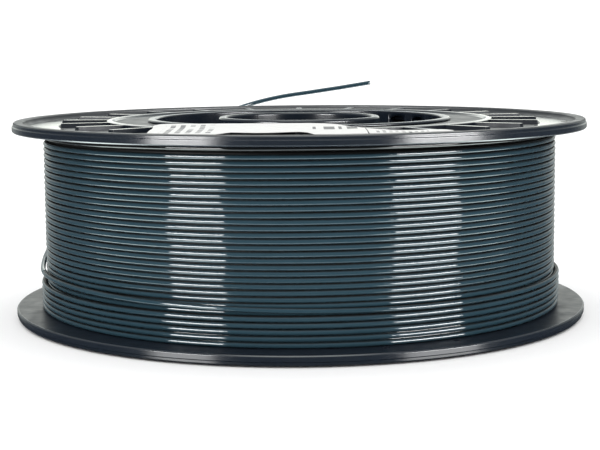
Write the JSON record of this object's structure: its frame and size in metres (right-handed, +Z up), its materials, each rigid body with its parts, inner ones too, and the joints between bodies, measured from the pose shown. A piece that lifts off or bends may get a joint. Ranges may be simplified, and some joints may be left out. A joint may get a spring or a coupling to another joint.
{
  "type": "filament spool",
  "caption": "Flanged plastic spool with a ribbed rim flange, open barrel and hub bore, wound with one strand of thin plastic filament for 3D printing.",
  "frame": {"origin": "centre of the spool's lower end, on the surface that it lies on", "axes": "+Z up along the spool's axis, +Y to the back, where the filament's end comes over the rim, +X to the right"},
  "size_m": [0.2, 0.2103, 0.0777],
  "materials": {
    "spool_plastic": "glossy black injection-moulded plastic",
    "filament": "glossy extruded dark petrol plastic",
    "label_paper": "white self-adhesive paper"
  },
  "bodies": {
    "root": {"upper_flange": "spool_plastic", "lower_flange": "spool_plastic", "core_barrel": "spool_plastic", "hub_upper_half": "spool_plastic", "hub_lower_half": "spool_plastic", "filament_inner_layers": "filament", "filament_outer_layer": "filament", "filament_last_turns": "filament", "filament_free_end": "filament", "filament_first_end": "filament", "product_label": "label_paper", "lot_sticker": "label_paper"}
  },
  "joints": []
}
